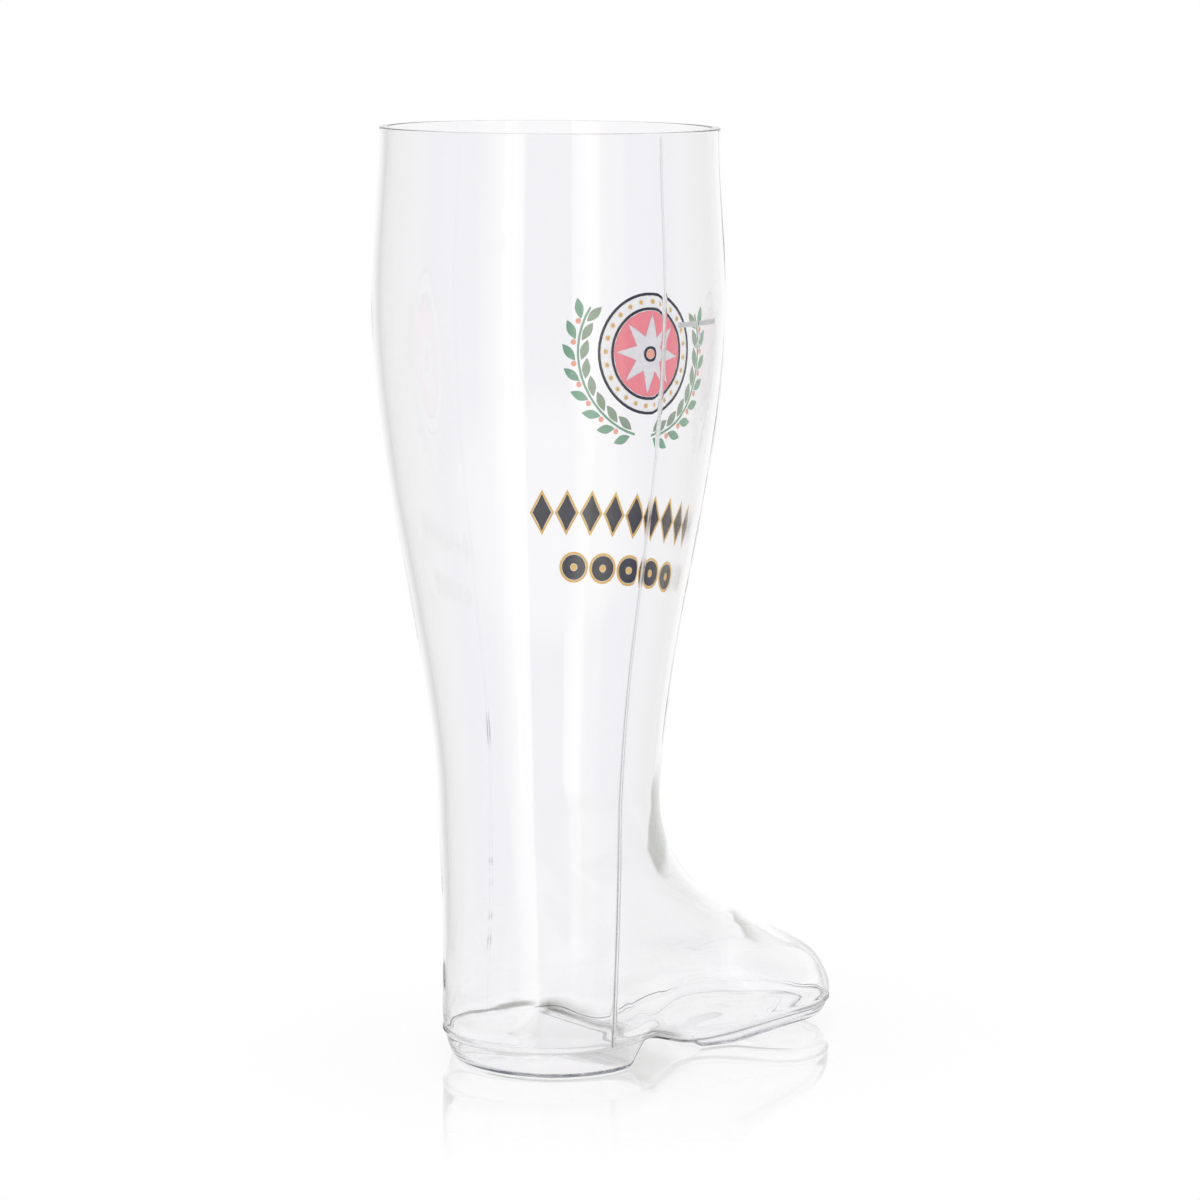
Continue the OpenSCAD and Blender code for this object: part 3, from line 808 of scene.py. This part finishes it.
# The studio that the glass mirrors and the one that shows through it, as stops by the angle round the boot
# in degrees, with 0 towards the camera's place
WHITE = (1, 1, 1, 1)
COOL = (0.28, 0.29, 0.42)
STUDIO = (
    (-180, 1.0), (-170, 1.0), (-165, 0.94), (-160, 0.86), (-156, 0.88), (-151.5, 0.72), (-147, 0.74),
    (-130, 0.62), (-110, 0.55), (-85, COOL), (-60, COOL), (-43, COOL), (-30, 1.2), (-17, 1.35), (-16.5, COOL),
    (18, COOL), (25, 0.95), (33, 1.05), (33.5, 0.6), (51, 0.6), (52, COOL), (85, COOL), (110, 0.55),
    (130, 0.68), (145, 0.88), (152, 0.93), (160, 1.0), (180, 1.0),
)
BEHIND = (
    (-180, 1.0), (-170, 1.0), (-165, 0.95), (-160, 0.88), (-155, 0.85), (-148, 0.88), (-140, 0.96), (-130, 1.0),
    (180, 1.0),
)
# The mirrored white backdrop and ceiling, by height from straight down (0) over level (0.5) to straight up (1)
BACKDROP = ((0.0, 0.0), (0.56, 0.0), (0.59, 1.0), (0.68, 1.0), (0.72, 0.0), (1.0, 0.0))
CEILING = ((0.0, 0.0), (0.78, 0.0), (0.9, 1.0), (1.0, 1.0))
CEILING_TONE = (0.10, 0.11, 0.16, 1)


def make_world():
    world = bpy.data.worlds.new("studio")
    bpy.context.scene.world = world
    tree = Tree(world)
    where = tree.new("ShaderNodeTexCoord").outputs["Generated"]

    def along(way):
        node = tree.new("ShaderNodeVectorMath")
        node.operation = "DOT_PRODUCT"
        tree.put(node.inputs[0], where)
        node.inputs[1].default_value = way
        return node.outputs["Value"]

    angle = tree.math("ARCTAN2", along(CAM_RIGHT), along(TO_CAMERA))
    share = tree.math("MULTIPLY_ADD", angle, 1 / (2 * math.pi), 0.5)
    mirrored, seen_through = (
        tree.ramp(share, [(a / 360 + 0.5, tone) for a, tone in stops]) for stops in (STUDIO, BEHIND))
    height = tree.math("MULTIPLY_ADD", along((0, 0, 1)), 0.5, 0.5)
    mirrored = tree.blend(tree.ramp(height, BACKDROP), mirrored, WHITE)
    mirrored = tree.blend(tree.ramp(height, CEILING), mirrored, CEILING_TONE)
    path = tree.new("ShaderNodeLightPath")
    colour = tree.blend(path.outputs["Is Transmission Ray"], WHITE, seen_through)
    colour = tree.blend(tree.math("MINIMUM", path.outputs["Glossy Depth"], 1.0), colour, mirrored)
    colour = tree.blend(path.outputs["Is Camera Ray"], colour, WHITE)
    background = tree.nodes["Background"]
    tree.put(background.inputs["Color"], colour)
    background.inputs["Strength"].default_value = 1.0


# The floor: a white disc, solid round the footprint and clear at its rim
FLOOR_RADIUS = 0.27
FLOOR_SOLID = 0.15
FLOOR_SIDES = 96
FLOOR_DROP = 0.0003
FLOOR_COLOUR = (0.97, 0.97, 0.97, 1)
FLOOR_SHADE = 0.2
FOOTPRINT_END = 0.09
FOOTPRINT_R = 0.036
# Its mirror image of the boot, which fades away from the footprint
MIRROR_SHARE = 0.42
MIRROR_REACH = 0.125
MIRROR_FADE = 1.3
MIRROR_ROUGHNESS = 0.02
# How bright the glass mirrors the floor in front of the boot and behind it, and how near the footprint it is
# still white
FLOOR_MIRRORED = 0.2
FLOOR_BEHIND = 0.8
FLOOR_BACK = 0.14
FLOOR_NEAR = 0.04


def floor_material():
    material, tree, shader, output = new_material("floor_white")
    tree.nodes.remove(shader)
    off_x, y, _ = tree.place()
    x = tree.math("ADD", off_x, FOOTPRINT_END / 2)
    nearest = tree.math("MINIMUM", tree.math("MAXIMUM", x, 0.0), FOOTPRINT_END)
    beyond = tree.math("SUBTRACT", x, nearest)
    square = tree.math("MULTIPLY_ADD", y, y, tree.math("MULTIPLY", beyond, beyond))
    away = tree.math("SUBTRACT", tree.math("SQRT", square), FOOTPRINT_R)
    far = tree.math("DIVIDE", away, MIRROR_REACH, clamp=True)
    fade = tree.math("POWER", tree.math("SUBTRACT", 1.0, far, clamp=True), MIRROR_FADE)

    mirrored = tree.math("MINIMUM", tree.new("ShaderNodeLightPath").outputs["Glossy Depth"], 1.0)
    back = tree.math("MULTIPLY_ADD", x, -TO_CAMERA.x, tree.math("MULTIPLY", y, -TO_CAMERA.y))
    back = tree.math("DIVIDE", back, FLOOR_BACK, clamp=True)
    loss = tree.math("MULTIPLY_ADD", back, FLOOR_MIRRORED - FLOOR_BEHIND, 1 - FLOOR_MIRRORED)
    loss = tree.product(loss, tree.math("DIVIDE", away, FLOOR_NEAR, clamp=True))
    strength = tree.math("SUBTRACT", 1.0, tree.product(mirrored, loss))

    glow = tree.new("ShaderNodeEmission", Strength=strength)
    diffuse = tree.new("ShaderNodeBsdfDiffuse", Color=FLOOR_COLOUR)
    gloss = tree.new("ShaderNodeBsdfGlossy", Color=WHITE, Roughness=MIRROR_ROUGHNESS)
    ground = tree.both(tree.product(fade, FLOOR_SHADE), glow, diffuse)
    mirror = tree.both(tree.product(fade, MIRROR_SHARE), ground, gloss)
    out = tree.math("SQRT", tree.math("MULTIPLY_ADD", off_x, off_x, tree.math("MULTIPLY", y, y)))
    rim = tree.since(out, FLOOR_SOLID, FLOOR_RADIUS - FLOOR_SOLID)
    tree.put(output.inputs["Surface"], tree.both(rim, mirror, tree.new("ShaderNodeBsdfTransparent")).outputs[0])
    return material


def make_floor():
    bm = bmesh.new()
    bmesh.ops.create_circle(bm, cap_ends=True, segments=FLOOR_SIDES, radius=FLOOR_RADIUS)
    mesh = bpy.data.meshes.new("floor")
    bm.to_mesh(mesh)
    bm.free()
    floor = bpy.data.objects.new("floor", mesh)
    floor.location = (FOOTPRINT_END / 2, 0, -FLOOR_DROP)
    bpy.context.scene.collection.objects.link(floor)
    mesh.materials.append(floor_material())


# Light runs on inside the curved glass, so its paths are followed for longer
GLASS_BOUNCES = 40


def main():
    make_camera()
    glass = bpy.data.objects.new("boot_glass_smooth", glass_mesh())
    bpy.context.scene.collection.objects.link(glass)
    rounding = glass.modifiers.new("rounding", "SUBSURF")
    rounding.levels = rounding.render_levels = 1
    glass.data.materials.append(glass_material())
    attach(glass, "root")
    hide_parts("boot_glass")
    dress_enamels()
    make_world()
    make_floor()
    bpy.context.scene.view_settings.view_transform = "Standard"
    light_paths = bpy.context.scene.cycles
    light_paths.max_bounces = light_paths.transmission_bounces = light_paths.glossy_bounces = GLASS_BOUNCES


main()
